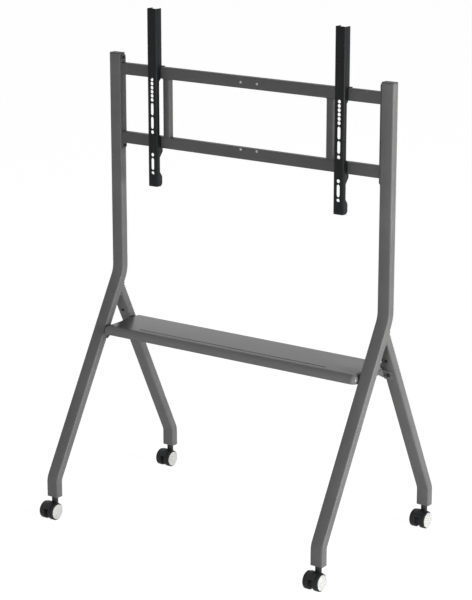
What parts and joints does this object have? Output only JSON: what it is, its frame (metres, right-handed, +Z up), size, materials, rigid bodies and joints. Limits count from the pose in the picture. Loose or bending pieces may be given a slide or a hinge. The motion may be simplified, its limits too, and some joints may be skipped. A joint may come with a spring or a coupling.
{
  "type": "mobile tv stand",
  "caption": "Rolling screen stand of bent rectangular steel tube with A-shaped legs on twin-wheel castors, a pressed shelf, two cross rails and two sliding hook-on screen arms.",
  "frame": {"origin": "on the floor, under the middle of the stand's overall box", "axes": "+Z up, +X to the right as seen from the front, +Y towards the back; the screen faces -Y"},
  "size_m": [0.974, 0.6232, 1.477],
  "materials": {
    "frame_powder_coat": "satin grey powder coat with a fine grain",
    "shelf_powder_coat": "satin grey powder coat, smooth",
    "arm_black_coat": "matt black powder coat",
    "black_zinc": "black plated steel fasteners",
    "zinc_plate": "bright zinc plate",
    "moulded_black": "moulded black plastic",
    "moulded_grey": "moulded dark grey plastic",
    "castor_nylon": "black moulded nylon",
    "castor_tread": "hard black wheel plastic",
    "hubcap_grey": "pale grey moulded plastic",
    "stem_steel": "black plated steel"
  },
  "bodies": {
    "frame": {"castor_stem_front_left": "stem_steel", "castor_stem_front_right": "stem_steel", "castor_stem_rear_left": "stem_steel", "castor_stem_rear_right": "stem_steel", "end_plate_left": "frame_powder_coat", "end_plate_right": "frame_powder_coat", "foot_insert_front_left": "zinc_plate", "foot_insert_front_right": "zinc_plate", "foot_insert_rear_left": "zinc_plate", "foot_insert_rear_right": "zinc_plate", "lower_rail": "frame_powder_coat", "plate_bolts": "black_zinc", "rail_post_left": "frame_powder_coat", "rail_post_right": "frame_powder_coat", "rear_leg_left": "frame_powder_coat", "rear_leg_right": "frame_powder_coat", "rivet_nuts": "zinc_plate", "shelf": "shelf_powder_coat", "shelf_bracket_left": "shelf_powder_coat", "shelf_bracket_right": "shelf_powder_coat", "shelf_screws": "black_zinc", "top_cap_left": "moulded_grey", "top_cap_right": "moulded_grey", "upper_rail": "frame_powder_coat", "upright_left": "frame_powder_coat", "upright_right": "frame_powder_coat"},
    "screen_arm_left": {"arm_grip_left": "moulded_black", "arm_hook_left": "arm_black_coat", "arm_left": "arm_black_coat", "arm_rivet_left": "zinc_plate"},
    "screen_arm_right": {"arm_grip_right": "moulded_black", "arm_hook_right": "arm_black_coat", "arm_right": "arm_black_coat", "arm_rivet_right": "zinc_plate"},
    "castor_front_left": {"castor_axle_front_left": "stem_steel", "castor_body_front_left": "castor_nylon"},
    "castor_front_right": {"castor_axle_front_right": "stem_steel", "castor_body_front_right": "castor_nylon"},
    "castor_rear_left": {"castor_axle_rear_left": "stem_steel", "castor_body_rear_left": "castor_nylon"},
    "castor_rear_right": {"castor_axle_rear_right": "stem_steel", "castor_body_rear_right": "castor_nylon"},
    "wheel_a_front_left": {"castor_wheel_a_front_left": "castor_tread", "hubcap_a_front_left": "hubcap_grey"},
    "wheel_a_front_right": {"castor_wheel_a_front_right": "castor_tread", "hubcap_a_front_right": "hubcap_grey"},
    "wheel_a_rear_left": {"castor_wheel_a_rear_left": "castor_tread", "hubcap_a_rear_left": "hubcap_grey"},
    "wheel_a_rear_right": {"castor_wheel_a_rear_right": "castor_tread", "hubcap_a_rear_right": "hubcap_grey"},
    "wheel_b_front_left": {"castor_wheel_b_front_left": "castor_tread", "hubcap_b_front_left": "hubcap_grey"},
    "wheel_b_front_right": {"castor_wheel_b_front_right": "castor_tread", "hubcap_b_front_right": "hubcap_grey"},
    "wheel_b_rear_left": {"castor_wheel_b_rear_left": "castor_tread", "hubcap_b_rear_left": "hubcap_grey"},
    "wheel_b_rear_right": {"castor_wheel_b_rear_right": "castor_tread", "hubcap_b_rear_right": "hubcap_grey"}
  },
  "joints": [
    {"name": "screen_arm_left_slide", "type": "slide", "parent": "frame", "child": "screen_arm_left", "axis": [1, 0, 0], "range_m": [-0.088, 0.212]},
    {"name": "screen_arm_right_slide", "type": "slide", "parent": "frame", "child": "screen_arm_right", "axis": [1, 0, 0], "range_m": [-0.2224, 0.0776]},
    {"name": "castor_front_left_swivel", "type": "hinge", "parent": "frame", "child": "castor_front_left", "pos_m": [-0.4615, -0.2669, 0.0607], "axis": [0, 0, 1], "continuous": true},
    {"name": "wheel_a_front_left_spin", "type": "hinge", "parent": "castor_front_left", "child": "wheel_a_front_left", "pos_m": [-0.4615, -0.2862, 0.0254], "axis": [1, 0, 0], "continuous": true},
    {"name": "wheel_b_front_left_spin", "type": "hinge", "parent": "castor_front_left", "child": "wheel_b_front_left", "pos_m": [-0.4615, -0.2862, 0.0254], "axis": [1, 0, 0], "continuous": true},
    {"name": "castor_front_right_swivel", "type": "hinge", "parent": "frame", "child": "castor_front_right", "pos_m": [0.4615, -0.2669, 0.0607], "axis": [0, 0, 1], "continuous": true},
    {"name": "wheel_a_front_right_spin", "type": "hinge", "parent": "castor_front_right", "child": "wheel_a_front_right", "pos_m": [0.4615, -0.2862, 0.0254], "axis": [1, 0, 0], "continuous": true},
    {"name": "wheel_b_front_right_spin", "type": "hinge", "parent": "castor_front_right", "child": "wheel_b_front_right", "pos_m": [0.4615, -0.2862, 0.0254], "axis": [1, 0, 0], "continuous": true},
    {"name": "castor_rear_left_swivel", "type": "hinge", "parent": "frame", "child": "castor_rear_left", "pos_m": [-0.4615, 0.2991, 0.0607], "axis": [0, 0, 1], "continuous": true},
    {"name": "wheel_a_rear_left_spin", "type": "hinge", "parent": "castor_rear_left", "child": "wheel_a_rear_left", "pos_m": [-0.4615, 0.2798, 0.0254], "axis": [1, 0, 0], "continuous": true},
    {"name": "wheel_b_rear_left_spin", "type": "hinge", "parent": "castor_rear_left", "child": "wheel_b_rear_left", "pos_m": [-0.4615, 0.2798, 0.0254], "axis": [1, 0, 0], "continuous": true},
    {"name": "castor_rear_right_swivel", "type": "hinge", "parent": "frame", "child": "castor_rear_right", "pos_m": [0.4615, 0.2991, 0.0607], "axis": [0, 0, 1], "continuous": true},
    {"name": "wheel_a_rear_right_spin", "type": "hinge", "parent": "castor_rear_right", "child": "wheel_a_rear_right", "pos_m": [0.4615, 0.2798, 0.0254], "axis": [1, 0, 0], "continuous": true},
    {"name": "wheel_b_rear_right_spin", "type": "hinge", "parent": "castor_rear_right", "child": "wheel_b_rear_right", "pos_m": [0.4615, 0.2798, 0.0254], "axis": [1, 0, 0], "continuous": true}
  ]
}
